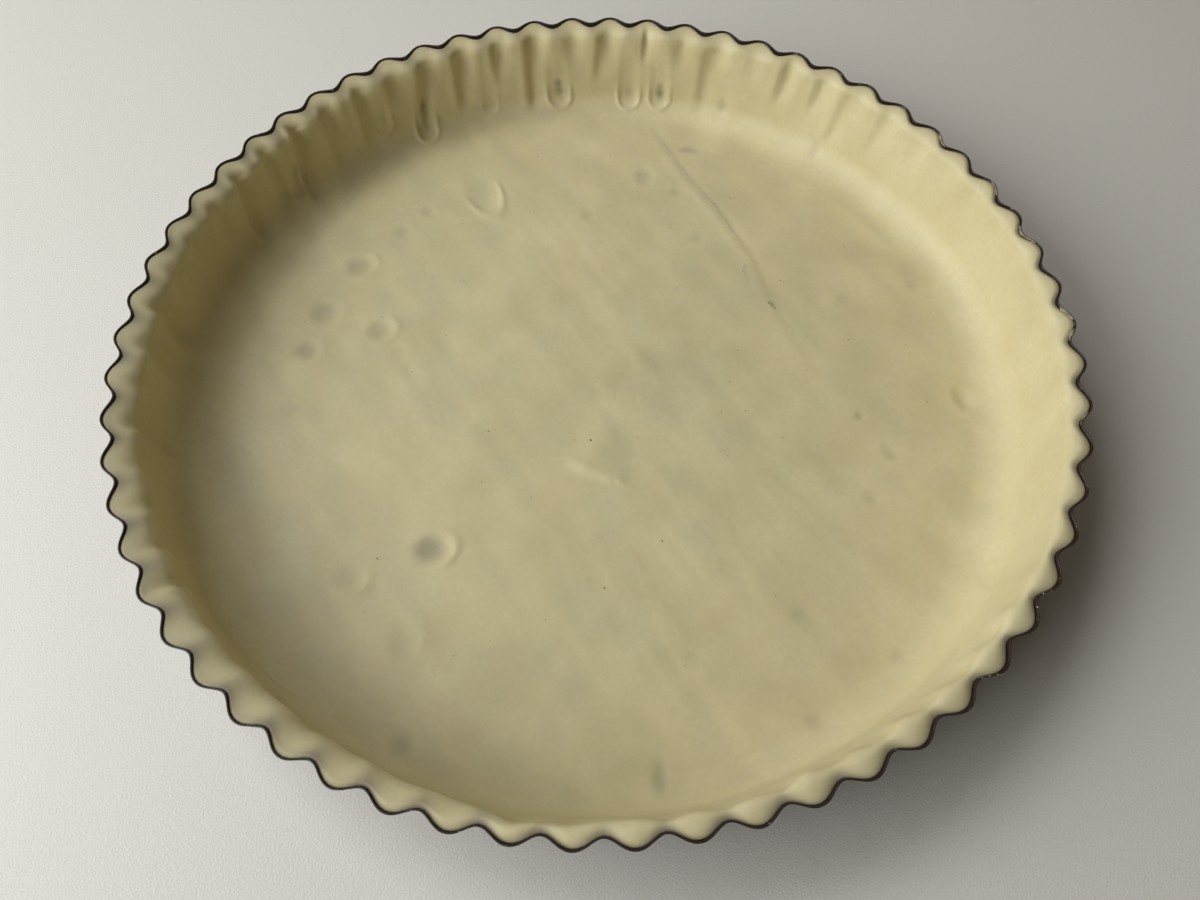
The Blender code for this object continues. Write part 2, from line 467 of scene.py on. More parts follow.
# %% [markdown]
# ### Creases, streaks and the bump
#
# Where the sheet was folded over the rolling pin a crease is left, which runs in from the far wall and
# breaks up into fine ridges. The pin itself leaves long faint streaks, all in one direction. Near the
# middle stands one small blister, a drop-shaped bump with an air bubble under it.

# %% Creases, streaks and the bump
CREASE = [(24, 116), (35.3, 92.1), (44.5, 77.1), (50, 64.9), (56.4, 51.8), (61.5, 30.5), (65.5, 20),
    (72.8, 3.1), (83.9, -12.7)]
BLISTER_FROM, BLISTER_TO = (-8.0, -28.3), (4.0, -34.3)
BLISTER_HIGH = 1.2
STREAK_WAY = math.radians(-57)
SWELLS = [(0.1, 24, 14), (0.05, 8, 15), (0.022, 3.2, 19)]  # height, size of the hills, seed


def beside(x, y, start, end):
    """Share of the way from start to end, and the signed distance to the left of the line between them."""
    run = np.subtract(end, start)
    along = ((x - start[0]) * run[0] + (y - start[1]) * run[1]) / np.hypot(*run) ** 2
    share = np.clip(along, 0, 1)
    off_x, off_y = x - start[0] - share * run[0], y - start[1] - share * run[1]
    side = np.sign(run[0] * (y - start[1]) - run[1] * (x - start[0]))
    return along, side * np.hypot(off_x, off_y)


def crease(x, y):
    """The soft step beside the crease, deeper at the far end."""
    height = np.zeros_like(x)
    whole = len(CREASE) - 1
    best = np.full_like(x, 1e9)
    for number, (start, end) in enumerate(zip(CREASE, CREASE[1:])):
        along, off = beside(x, y, start, end)
        strength = np.interp(number + np.clip(along, 0, 1), [0, 1, 3, 5, whole], [0.06, 0.16, 0.2, 0.1, 0.0])
        here = strength * (bell(off + 2.2, 1.8) - 0.8 * bell(off - 0.4, 1.2))
        nearer = np.abs(off) < np.abs(best)
        height = np.where(nearer, here, height)
        best = np.where(nearer, off, best)
    return height


def blister(x, y):
    """A drop-shaped bump, blunt at its far left end and drawn out at the other."""
    along, off = beside(x, y, BLISTER_FROM, BLISTER_TO)
    width = np.interp(along, [-0.6, 0.0, 0.5, 1.0, 1.3], [4.2, 3.6, 3.0, 2.0, 1.4])
    width = width * np.where(off > 0, 4.0, 0.5)  # one side slopes off gently, the other is steep
    swell = ramp(along, -0.4, 0.45) * (1 - ramp(along, 0.2, 2.2))
    return BLISTER_HIGH * bell(off, width) * swell


def floor_relief(x, y):
    """Height and grey of the floor, in mm and 0 to 1."""
    height, grey = dents(x, y)
    along, across = turned_by(x, y, STREAK_WAY)
    streaks = noise(along / 6, across, 3.6, 11) + 0.5 * noise(along / 4, across, 2.0, 12)
    height = height + crease(x, y) + blister(x, y)
    height += 0.05 * streaks * np.clip(0.6 + 0.9 * noise(x, y, 34, 13), 0, 1.5)
    height += sum(high * noise(x, y, size, seed) for high, size, seed in SWELLS)
    thin = 0.5 + 0.3 * noise(x, y, 30, 16) + 0.35 * noise(x, y, 9, 17)
    thin += 0.35 * noise(along / 4, across, 5, 18)
    return height, grey + 0.15 * np.clip(thin, 0, 1.3)


# %% [markdown]
# ### The wall
#
# On the far and left wall the dough still shows every flute as a soft groove. Between the grooves the
# fingers pressed it home: each press is a channel a finger wide that ends in a raised U just above the
# floor, with a grey heart where the tin shows through. On the right it was smoothed over.

# %% Finger presses on the wall
DEGREE = math.pi / 180
WALL_RADIUS = 131  # where widths on the wall are measured
PRESS_TOP = 30.0
# degrees round the case, half the width in mm, lower end in mm up the wall, depth, raised edge, grey, the
# grey's half-length and how far it lies above the lower end, and lean
PRESSES = [
    (142.6, 5, 14.4, 1.1, 0.7, 0.3, 3.5, 9, -3),
    (125.6, 3.6, 14.2, 0.45, 0.75, 0.24, 4.5, 5.9, -0.6),
    (118.8, 4.3, 4.4, 0.7, 0.9, 0.72, 7.6, 10.6, -2.4),
    (107.4, 3.2, 6.6, 0.3, 0.2, 0.06, 4, 5, -1),
    (95.6, 4.6, 5.8, 0.5, 0.62, 0.9, 4.2, 8.1, 1),
    (83.8, 4.2, 5.2, 0.38, 0.62, 0.2, 4, 7.2, 0.3),
    (78.6, 4, 6.2, 0.38, 0.6, 0.75, 4.2, 6.8, 0.5),
    (68, 4, 7, 0.15, 0.1, 0.26, 4, 6, 0),
    (50.6, 3.4, 6, 0.1, 0, 0.34, 3.6, 5, 0.6),
    (-32.5, 5, 9, 0.25, 0.2, 0, 4, 9, 0),
]


def past(degrees, at):
    """How far round the wall a place lies from a station, in mm."""
    return ((degrees - at + 180) % 360 - 180) * DEGREE * WALL_RADIUS


def presses(degrees, up_wall):
    """What the finger presses add to the wall's thickness, and their grey."""
    more, grey = np.zeros_like(degrees), np.zeros_like(degrees)
    for at, half, low, depth, edge, stain, long, heart_up, lean in PRESSES:
        bottom = low + half
        share = np.clip((PRESS_TOP - up_wall) / (PRESS_TOP - bottom), 0, 1)
        across = past(degrees, at) - lean * (1 - share)
        below = np.clip(bottom - up_wall, 0, None)
        out = np.hypot(across, below) / half
        lower = ramp(share, 0.62, 1.0) * (0.85 + 0.3 * noise(across + at, up_wall, 5, 55))
        top_fade = 1 - ramp(up_wall, 25, 31)
        more -= depth * (1 - ramp(out, 0.3, 1.05)) * top_fade * (0.25 + 0.75 * share)
        more += edge * bell(out - 1.0, 0.12) * (0.03 + 0.97 * lower) * top_fade
        heart = np.hypot(across / 1.9, (up_wall - low - heart_up) / long)
        grey += stain * (1 - ramp(heart, 0.15, 1.2)) * (0.8 + 0.4 * noise(across + at, up_wall, 2, 56))
    return more, grey


# %% Grooves on the wall
LEAN_FROM, LEAN_OVER = 32.0, 24  # the height from which a groove leans, and over how much height
# degrees, top and bottom height, depth, width to the left and to the right, lean in mm
GROOVES = [
    (163, 32.4, 20, 0.9, 2.2, 4, 0.5), (157, 32.4, 17, 1.3, 1.8, 3.6, 1.6),
    (151.2, 33, 9, 2.2, 1.3, 3.6, 4.6), (145.4, 33, 11, 1.5, 1.6, 3.2, 1.8),
    (139.6, 33, 8, 2.2, 1.3, 3.4, 4), (133.8, 32.6, 10.5, 1.1, 2, 4, 0.8),
    (128, 32.6, 11, 1.3, 1.6, 4.4, 1), (122.6, 32, 20.5, 0.33, 1.9, 2.6, 0),
    (117, 32.2, 11.5, 1.14, 1.9, 3.6, 3), (111.2, 32.2, 10.5, 1.09, 1.9, 3.6, 0.8),
    (105.2, 31.8, 18.5, 0.76, 1.4, 2.9, 0), (99.6, 32.2, 6, 1.28, 1.9, 3.8, 0.6),
    (88.2, 32.4, 15.5, 0.71, 1.7, 3.6, 2), (81.4, 33.4, 25, 0.8, 0.8, 1.4, 0.8),
    (75.5, 32.5, 28, 0.2, 1.2, 1.8, 0), (71.2, 31, 8.5, 0.71, 1.7, 3.6, 0.6),
    (66.2, 32.5, 24.5, 0.14, 1.7, 2.6, 0), (58.6, 33.8, 18, 0.9, 1.2, 3.4, 2.8),
    (53.2, 32.5, 20, 0.8, 0.8, 2.6, 1.8), (48.2, 32.5, 12, 0.75, 1.4, 3.2, 2.4),
    (41.8, 33.8, 18, 0.55, 1, 3, 2.4), (14.6, 33.8, 28, 0.35, 1.2, 2, 3),
    (4.2, 33.8, 29, 0.35, 1.2, 2, 1), (168.4, 32.8, 22, 1, 1.6, 3.8, 2),
    (174.6, 32.6, 13, 1.9, 1.3, 4, 1.6), (180.4, 33, 15, 1.1, 1.8, 3.8, 1.6),
    (186.2, 33, 18, 0.6, 2, 3.4, 1.6), (192, 33, 11, 1.5, 2, 3.8, 1),
    (198, 33, 20, 0.6, 2, 3.4, 1), (203.8, 33.2, 24, 0.7, 1.4, 2.6, 1),
    (209.4, 33.2, 26, 0.6, 1.4, 2.6, 1), (214.8, 33.8, 25, 1.1, 0.8, 2.6, 0.4),
]


def grooves(degrees, height):
    """Folds and flutes that show on the inner wall, each with a steeper left side."""
    more = np.zeros_like(degrees)
    for at, top, bottom, depth, left, right, lean in GROOVES:
        share = np.clip((LEAN_FROM - height) / LEAN_OVER, 0, 1)
        across = -past(degrees, at) + lean * share
        width = np.where(across < 0, left, right)
        deep = ramp(height, bottom - 3, bottom + 6) * (1 - ramp(height, top - 1.0, top + 1.6))
        more -= depth * bell(across, width) * deep
        more += 0.3 * depth * bell(across + 1.9 * left, left) * deep
    return more


# %% The overlap of the sheet on the near left wall
# its lower edge, degrees and height
OVERLAP = [(196, 27), (205, 26.6), (210, 25.6), (212, 23.2), (215, 24.6), (218, 20.5), (220, 15.5),
    (222, 12.5), (225, 10), (228, 9), (232, 8)]


def overlap(degrees, height):
    """A second layer above a ragged edge, which thins away upwards."""
    at, line = np.array(OVERLAP).T
    edge = np.interp(degrees, at, line) + 0.6 * line_noise(degrees * DEGREE * WALL_RADIUS, 2.6, 51)
    ends = ramp(degrees, 194, 200) * (1 - ramp(degrees, 228, 233))
    above = height - edge
    return ramp(above, -0.5, 0.5) * np.exp(-np.clip(above, 0, None) / 4.5) * ends


print(len(DENTS), "dents in the floor,", len(PRESSES), "presses on the wall")

# %% [markdown]
# ### The section at every column
#
# The inner side starts at the floor's edge, turns up through the hollow, climbs the wall and rolls over
# the lip to where it meets the tin. How thick the lip is changes round the case. The dough mostly meets
# the tin a little higher in a flute's tip than in a valley, and on the near side it swells into a small
# pillow at every tip, where it was folded over. So each size is a table that goes round the case.

# %% The section's sizes
COLUMNS = FLUTES * 12
FLOOR_TOP, UNDERSIDE = 4.2, 1.35
GAP = 0.06  # between the dough and the tin
FOOT_DOUGH = 3.9  # thickness at the foot of the wall
LEAST_TOP = 0.8  # the lip's top is at least this wide
# all at stations round the case, in degrees
# how far in from the tin the lip turns down into the wall
LIP_WIDTH = {0: 5, 45: 4.8, 70: 5.6, 100: 6, 130: 5.8, 150: 5.9, 165: 6.4, 180: 6.9, 205: 7, 215: 7.1,
    222: 7.6, 232: 7.9, 245: 7.3, 252: 6.2, 256: 5.7, 259: 4.9, 261.5: 3.6, 264.5: 4.3, 267: 3.7, 270: 4.5,
    273: 4.9, 276: 4.6, 279: 5, 284: 4.8, 292: 5.4, 300: 5.4, 312: 5, 330: 4.8}
# how much the flutes move that edge, and the other way round where it is below 0
LIP_FLUTED = {0: 0.3, 40: 0.25, 60: 0.3, 85: 0.3, 105: 0.35, 130: 0.3, 150: 0.25, 165: 0.16, 190: 0.15,
    215: 0.2, 235: 0.15, 262: 0.1, 275: -0.1, 285: -0.25, 300: -0.32, 320: -0.25, 335: 0, 345: 0.15}
# how high the lip turns down, and how far its top slopes down on its way in
EDGE_HEIGHT = {0: 30, 60: 30.2, 90: 30.2, 130: 30.6, 165: 30.8, 205: 30.7, 222: 30.2, 240: 30, 262: 32.2,
    300: 32.2, 330: 31}
DROP = {0: 0.9, 60: 1.1, 100: 1.4, 130: 1.7, 165: 1.8, 205: 1.8, 222: 2.2, 240: 2.4, 254: 1.9, 262: 1,
    270: 0.8, 300: 0.9, 330: 0.9}
# the height where the dough meets the tin, in a flute's tip and in a valley, and that of the lip's crown
TIP_MEETS = {0: 34.6, 40: 34.5, 215: 34.5, 240: 34.35, 262: 33.8, 290: 33.7, 330: 34, 350: 34.45}
VALLEY_MEETS = {0: 34.1, 60: 33.7, 90: 33.4, 120: 33.7, 180: 34.1, 240: 34.1, 262: 34, 290: 33.7, 320: 33.7,
    345: 34}
CROWN_HEIGHT = {0: 34.65, 30: 34.6, 60: 34.6, 120: 34.3, 180: 34.3, 215: 34.35, 240: 34.4, 262: 34.45,
    285: 34.35, 300: 34.25, 320: 34.3, 340: 34.5}
# how far in the crown lies, at a tip and at a valley
TIP_CROWN = {0: 1.8, 60: 1.7, 90: 1.7, 120: 1.2, 140: 0.8, 230: 0.8, 250: 2.2, 264: 3.8, 285: 4.9, 320: 4.9,
    340: 2.8}
VALLEY_CROWN = {0: 2, 60: 1.8, 90: 1.5, 120: 0.8, 140: 0.6, 230: 0.6, 250: 1.2, 264: 2.4, 300: 3, 330: 2.4}
# how the crown swells at each tip
PILLOW = {0: 0.4, 30: 0.35, 60: 0.2, 90: 0.1, 130: 0.1, 235: 0.05, 255: 0.3, 285: 0.85, 300: 1, 320: 0.9,
    340: 0.6}
# how grey the edge beside the tin is, partly thin dough over the dark tin and partly painted shade from the
# tin's rim, and how far in that reaches, in mm
GREYED = {0: 0.45, 30: 0.45, 60: 0.7, 80: 0.95, 180: 0.95, 240: 1, 300: 0.8, 330: 0.6}
GREY_REACH = {0: 0.75, 40: 0.8, 60: 1.1, 80: 1.5, 120: 1.5, 200: 1.6, 222: 2, 250: 1.9, 264: 1.2, 300: 1,
    330: 0.8}
# a faint grey laid over the lip on the left, added to the same value as the grey beside the tin
LIP_GREY_WASH = {0: 0, 60: 0, 110: 0.12, 150: 0.26, 205: 0.26, 235: 0.1, 262: 0}
# the hollow between floor and wall: how far in and how far up it reaches
HOLLOW_IN = {0: 13, 60: 11, 75: 8.5, 112: 8.5, 130: 11, 147: 17, 156: 21.5, 168: 21.5, 178: 18, 190: 16.5,
    215: 13, 260: 10, 300: 11, 330: 13}
HOLLOW_UP = {0: 11, 60: 9, 75: 8, 112: 8, 130: 10, 150: 15.5, 168: 15.5, 185: 13, 215: 11, 260: 9, 300: 9,
    330: 11}

# %% The section at every column
# the columns stand twice as close on the far wall, where the fingers left the finest marks
fine = np.arange(0, 360.01, 0.05)
density = 1 + ramp(fine, 70, 80) * (1 - ramp(fine, 145, 155))
passed = np.concatenate([[0], np.cumsum(density[1:])])
degrees = np.interp(np.arange(COLUMNS) / COLUMNS * passed[-1], passed, fine)
angles = np.radians(degrees)
wave_here = flute(angles)
in_tip = np.clip(wave_here, -1, 1) * 0.5 + 0.5
round_mm = angles * RIM_RADIUS


def here(stations):
    """A table's value at every column."""
    return round_table(degrees, stations)


lip_z = here(TIP_MEETS) * in_tip + here(VALLEY_MEETS) * (1 - in_tip)
lip_z += 0.1 * line_noise(round_mm, 11, 31)
tin_inside = tin_radius(lip_z) - SHEET + rise(lip_z) * wave_here
lip_r = tin_inside - GAP
mean_inside = tin_radius(TIN_HEIGHT) - SHEET
notched = (2 * in_tip**2.2 - 0.7) * RIM_RISE * here(LIP_FLUTED)
notched *= 1 + 0.35 * line_noise(round_mm, 9, 35)
edge_r = mean_inside - here(LIP_WIDTH)
edge_r += 0.35 * line_noise(round_mm, 13, 33) + 0.15 * line_noise(round_mm, 5, 34)
edge_z = here(EDGE_HEIGHT) + 0.4 * line_noise(round_mm, 17, 32)
crown_r = lip_r - here(TIP_CROWN) * in_tip - here(VALLEY_CROWN) * (1 - in_tip)
crown_r = np.maximum(crown_r, edge_r + notched + LEAST_TOP)
crown_z = here(CROWN_HEIGHT) + here(PILLOW) * (in_tip - 0.3)
crown_z = np.minimum(np.maximum(crown_z, lip_z + 0.03), TIN_HEIGHT)
hollow_in, hollow_up = here(HOLLOW_IN), here(HOLLOW_UP)
foot_z = FLOOR_TOP + hollow_up
foot_r = tin_radius(foot_z) - SHEET - FOOT_DOUGH
foot_r = foot_r + 0.35 * np.cos(3 * angles - 0.7) + 0.25 * np.cos(7 * angles - 1.9)
floor_r = foot_r - hollow_in
print("lip", round(float(lip_z.min()), 1), "to", round(float(crown_z.max()), 1), "mm high")

# %% The inner side as a grid
HOLLOW_ROWS, WALL_ROWS, LIP_ROWS = 19, 26, 14
HUG = 0.82  # how closely the turn from the wall to the lip's top hugs its corner
ROUND_TOP = 0.7  # how steep the crown is, against the straight slope on its way in
HIGHEST = 35.1


def bezier(start, first, second, end, share):
    """Points on a cubic curve between start and end, for columns of points."""
    s = share[:, None]
    return (1 - s) ** 3 * start + 3 * (1 - s) ** 2 * s * first + 3 * (1 - s) * s * s * second + s**3 * end


def hugging(start, corner):
    """A handle that lies most of the way from the start to the corner."""
    return start + HUG * (corner - start)


turns = np.linspace(0, math.pi / 2, HOLLOW_ROWS)[:, None]
hollow_r = floor_r + hollow_in * np.sin(turns)
hollow_z = foot_z - hollow_up * np.cos(turns)
share = np.linspace(0, 1, WALL_ROWS)[1:, None]
wall_r = foot_r + (edge_r - foot_r) * share + notched * ramp(share, 0.35, 1.0)
wall_z = foot_z + (edge_z - foot_z) * share
edge_r = edge_r + notched
corner_r = edge_r + 0.12 * (crown_r - edge_r)
corner_z = crown_z - here(DROP)
half_rows = np.linspace(0, 1, LIP_ROWS // 2 + 1)[1:]
top_z = crown_z - ROUND_TOP * HUG * (crown_z - corner_z)
handles_r = hugging(edge_r, corner_r), hugging(crown_r, corner_r)
first_r = bezier(edge_r, *handles_r, crown_r, half_rows)
first_z = bezier(edge_z, hugging(edge_z, corner_z), top_z, crown_z, half_rows)
onward = (lip_r - crown_r) * 0.3
rising = ROUND_TOP * onward * (crown_z - corner_z) / (crown_r - corner_r)
second_r = bezier(crown_r, crown_r + onward, lip_r - 0.35, lip_r, half_rows)
handles_z = crown_z + rising, lip_z + 0.45 * (crown_z - lip_z)
second_z = bezier(crown_z, *handles_z, lip_z, half_rows)
grid_r = np.concatenate([hollow_r, wall_r, first_r, second_r])
grid_z = np.minimum(np.concatenate([hollow_z, wall_z, first_z, second_z]), HIGHEST)
print("inner side:", grid_r.shape, "rows and columns")


# %% Relief on the inner side
def normals(r, z):
    """Unit normals of the grid in the plane of radius and height, which point into the case."""
    dr, dz = np.gradient(r, axis=0), np.gradient(z, axis=0)
    length = np.hypot(dr, dz)
    return -dz / length, dr / length


way_r, way_z = normals(grid_r, grid_z)
grid_degrees = degrees + 0 * grid_r
arc_mm = grid_degrees * DEGREE * WALL_RADIUS
steps_up = np.hypot(np.diff(grid_r, axis=0), np.diff(grid_z, axis=0))
# mm up the wall from the floor's edge
up_wall = np.concatenate([0 * grid_r[:1], np.cumsum(steps_up, axis=0)])
pressed, wall_grey = presses(grid_degrees, up_wall)
folds = grooves(grid_degrees, grid_z) + overlap(grid_degrees, grid_z)
folds += 0.16 * noise(arc_mm, grid_z * 0.6, 9, 41) + 0.05 * noise(arc_mm, grid_z, 3.5, 42)
over_lip = np.zeros(len(grid_r))
over_lip[-LIP_ROWS:] = np.linspace(0, 1, LIP_ROWS)
kept_folds = (1 - ramp(over_lip, 0.1, 0.9))[:, None]
x, y = polar(grid_r, angles)
floor_part, floor_grey = floor_relief(x, y)
on_floor = 1 - ramp(grid_z, FLOOR_TOP, FLOOR_TOP + 4)
relief = (pressed + folds * (1 - on_floor)) * kept_folds + floor_part * on_floor
inner_r = grid_r + relief * way_r
inner_z = grid_z + relief * way_z
inner_grey = np.clip(wall_grey + floor_grey * on_floor, 0, 1)
FAR = 99.0  # for what isn't on the lip
from_tin = np.where((over_lip > 0)[:, None], np.abs(lip_r - grid_r), FAR)
over_valley = 0.4 + 0.6 * (1 - in_tip) ** 1.3
reach = here(GREY_REACH) * (0.5 + over_valley)
# the lip's grey beside the tin, stronger in the valleys: partly thin dough over the dark tin, partly painted
# shade that the tin's rim throws on the dough
lip_grey_and_painted_shade = here(GREYED) * over_valley * np.exp(-((from_tin / reach) ** 1.4))
lip_grey_and_painted_shade += here(LIP_GREY_WASH) * np.exp(-((from_tin / 5) ** 3)) * (1 - lip_grey_and_painted_shade)
print("relief from", round(float(relief.min()), 2), "to", round(float(relief.max()), 2), "mm")

# %% [markdown]
# ### Joining the rings
#
# The floor needs fewer columns the nearer a ring lies to the middle, or its faces turn into needles.
# So the number of columns halves three times on the way in, and one function joins any two rings, with
# quads where they match and with triangles where one has half the points of the other.

# %% Rings of the whole skin
def ring(radius, height, columns=COLUMNS):
    """One ring of points, from a radius and a height for every column, or for all of them."""
    turn = angles[:: COLUMNS // columns]
    return np.stack([*polar(radius, turn), height + 0 * turn], axis=1)


def join(inner, outer, inner_start, outer_start):
    """Faces between two rings, counted anticlockwise from above."""
    faces = []
    n, m = len(inner), len(outer)
    for j in range(n):
        k = (j + 1) % n
        a, b = inner_start + j, inner_start + k
        if n == m:
            faces.append((a, outer_start + j, outer_start + k, b))
        elif m == 2 * n:
            c, d, e = (outer_start + i % m for i in (2 * j, 2 * j + 1, 2 * j + 2))
            faces += [(a, c, d), (a, d, b), (b, d, e)]
        elif n == 2 * m and j % 2 == 0:
            c, d, e = (inner_start + i % n for i in (j, j + 1, j + 2))
            a, b = outer_start + j // 2, outer_start + (j // 2 + 1) % m
            faces += [(c, a, d), (d, a, b), (d, b, e)]
    return faces


def skin(name, rings):
    """A closed mesh object from rings that start and end near the axis, each end closed with a fan."""
    starts = np.cumsum([0] + [len(r) for r in rings])
    faces = []
    for i in range(len(rings) - 1):
        faces += join(rings[i], rings[i + 1], starts[i], starts[i + 1])
    first, last = rings[0], rings[-1]
    points = np.concatenate([*rings, [first.mean(axis=0)], [last.mean(axis=0)]])
    top, bottom = len(points) - 2, len(points) - 1
    faces += [(top, j, (j + 1) % len(first)) for j in range(len(first))]
    faces += [(bottom, starts[-2] + (j + 1) % len(last), starts[-2] + j) for j in range(len(last))]
    return mesh_object(name, points, faces)


MIDDLE, FLOOR_RINGS = 62, 46  # the radius inside which the columns get fewer, and the rings outside it
# from, to, columns, rings
ZONES = [(1.5, 15.5, COLUMNS // 8, 11), (15.5, 31, COLUMNS // 4, 12), (31, MIDDLE, COLUMNS // 2, 27)]
rings, greys, edges = [], [], []


def keep(points, grey, edge):
    """Adds a ring with the grey and the edge values that its points have."""
    rings.append(points)
    greys.append(grey + np.zeros(len(points)))
    edges.append(edge + np.zeros(len(points)))


def keep_floor(radius, columns=COLUMNS):
    """Adds a ring of the floor with its relief."""
    points = ring(radius, FLOOR_TOP, columns)
    height, grey = floor_relief(points[:, 0], points[:, 1])
    points[:, 2] += height
    keep(points, grey, 0.0)


for start, end, columns, count in ZONES:
    for radius in np.linspace(start, end, count, endpoint=False):
        keep_floor(radius, columns)
for share_out in np.linspace(0, 1, FLOOR_RINGS, endpoint=False):
    keep_floor(MIDDLE + (floor_r - MIDDLE) * share_out)
for row in range(len(inner_r)):
    keep(ring(inner_r[row], inner_z[row]), inner_grey[row], lip_grey_and_painted_shade[row])
print("rings so far:", len(rings))

# %% The side that faces the tin
AGAINST_TIN = 0.3  # the edge value of every side that lies against the tin
SIDE_FOOT, CORNER_IN, CORNER_HEIGHT, BASE_RADIUS = 3.2, 0.9, 1.75, 130.0
for share_down in (0.1, 0.35, 0.7, 1.0):
    height = lip_z + (SIDE_FOOT - lip_z) * share_down
    side = tin_radius(height) - SHEET - GAP + rise(height) * wave_here
    keep(ring(side, height), 0.0, AGAINST_TIN)
keep(ring(FOOT_RADIUS - SHEET - CORNER_IN + 0.3 * wave_here, CORNER_HEIGHT), 0.0, AGAINST_TIN)
keep(ring(BASE_RADIUS, UNDERSIDE), 0.0, AGAINST_TIN)
for radius, fewer in ((110, 2), (80, 4), (40, 8), (10, 8)):
    keep(ring(radius, UNDERSIDE, COLUMNS // fewer), 0.0, AGAINST_TIN)
pastry = skin("shortcrust_case", rings)


def mark(obj, label, values):
    """Gives every point of the mesh a number under this name, for a material or a tree to read."""
    attribute = obj.data.attributes.new(label, "FLOAT", "POINT")
    attribute.data.foreach_set("value", np.asarray(values, np.float32))


mark(pastry, "grey", np.concatenate([*greys, [0, 0]]))
mark(pastry, "edge", np.concatenate([*edges, [0, 0]]))
print("pastry:", sum(len(face.vertices) - 2 for face in pastry.data.polygons), "triangles")

# %% [markdown]
# ### The dough's finish
#
# Raw shortcrust is a matt, slightly fatty solid: pale butter yellow, with light passing a millimetre or
# two into it, which softens every edge. It is never one colour, since butter and flour don't mix to the
# last grain: it is clouded at the size of a fingertip and speckled at the size of a grain.

# %% Raw shortcrust
dough, add, shader, where = new_material("raw_shortcrust")
clouds = add("TexNoise", {"Vector": where, "Scale": 1 / (22 * MM), "Detail": 4.0, "Roughness": 0.6})
cloudy = add("MapRange", {"Value": clouds, "From Min": 0.35, "From Max": 0.65})
grain = add("TexNoise", {"Vector": where, "Scale": 1 / (1.6 * MM), "Detail": 3.0, "Roughness": 0.6})
grainy = add("MapRange", {"Value": grain, "From Min": 0.3, "From Max": 0.7, "To Min": 0.0, "To Max": 0.4})
# the grey value: the tin showing through thin dough, and painted shade on the crease's gap
thin = add("Attribute", give="Fac", attribute_name="grey")
edge_grey_and_painted_shade = add("Attribute", give="Fac", attribute_name="edge")
colour = linear("d6c99d")
# over the ground colour: clouds, flour, the grey of the tin below with painted shade on the crease's gap, and
# the grey edge beside the tin, partly thin dough over the tin and partly painted shade from its rim
for factor, over in ((cloudy, "ded3a9"), (grainy, "ccbf8f"), (thin, "64665a"), (edge_grey_and_painted_shade, "857c69")):
    colour = add("Mix", {"Factor": factor, "A": colour, "B": linear(over)}, "Result", data_type="RGBA")
pores = add("TexNoise", {"Vector": where, "Scale": 1 / (0.8 * MM), "Detail": 3.0})
bump = add("Bump", {"Height": pores, "Strength": 0.25, "Distance": 0.05 * MM})
feed(shader, {"Base Color": colour, "Normal": bump, "Roughness": 0.5, "Specular IOR Level": 0.35})
feed(shader, {"Subsurface Weight": 0.35, "Subsurface Radius": (1.0, 0.8, 0.45), "Subsurface Scale": 1.6 * MM})
pastry.data.materials.append(dough)

# %% [markdown]
# ### The torn lips of the crease and the flakes on the rim
#
# The crease is a thin dark line between two torn lips, much finer than the skin's own faces; that dark line is
# painted shade, grey laid on the gap between the lips. On the right rim a few paper-thin flakes of dough hang
# over the tin's edge, where the sheet was trimmed. Both are narrow bars of dough laid along a line, so one
# function sweeps a closed section along any line.

# %% A bar of dough along a line
def bar(line, section, ground, size):
    """Points and faces of a closed bar: a section of (to the right, up) points swept along a line.

    Ground gives the height that the bar lies on, and size scales the section at each point of the line.
    """
    way = np.gradient(line, axis=0)
    right = np.stack([way[:, 1], -way[:, 0]], axis=1) / np.linalg.norm(way, axis=1)[:, None]
    section = np.asarray(section)
    scaled = section[None] * size[:, None, None]
    flat = line[:, None] + right[:, None] * scaled[..., :1]
    up = ground(flat[..., 0], flat[..., 1]) + scaled[..., 1]
    points = np.concatenate([flat, up[..., None]], axis=2).reshape(-1, 3)
    n, m = len(line), len(section)
    sides = [(k * m, i, (i + 1) % m) for k in range(n - 1) for i in range(m)]
    faces = [(at + i, at + j, at + m + j, at + m + i) for at, i, j in sides]
    return points, [*faces, tuple(reversed(range(m))), tuple(range((n - 1) * m, n * m))]


def bars_object(name, bars):
    """One mesh object from several bars."""
    points, faces, start = [], [], 0
    for more_points, more_faces in bars:
        points.append(more_points)
        faces += [tuple(start + corner for corner in face) for face in more_faces]
        start += len(more_points)
    made = mesh_object(name, np.concatenate(points), faces)
    made.data.materials.append(dough)
    return made


def through(points, spacing):
    """A smooth line through the points, with its own points this far apart."""
    points = np.asarray(points, float)
    along = np.concatenate([[0], np.cumsum(np.hypot(*np.diff(points, axis=0).T))])
    at = np.linspace(0, along[-1], max(4, int(along[-1] / spacing)))
    window = np.hanning(9) / np.hanning(9).sum()
    padded = [np.pad(np.interp(at, along, points[:, k]), 4, "edge") for k in (0, 1)]
    return np.stack([np.convolve(line, window, "valid") for line in padded], axis=1)


def floor_at(x, y):
    """Height of the floor's skin."""
    return FLOOR_TOP + floor_relief(x, y)[0]


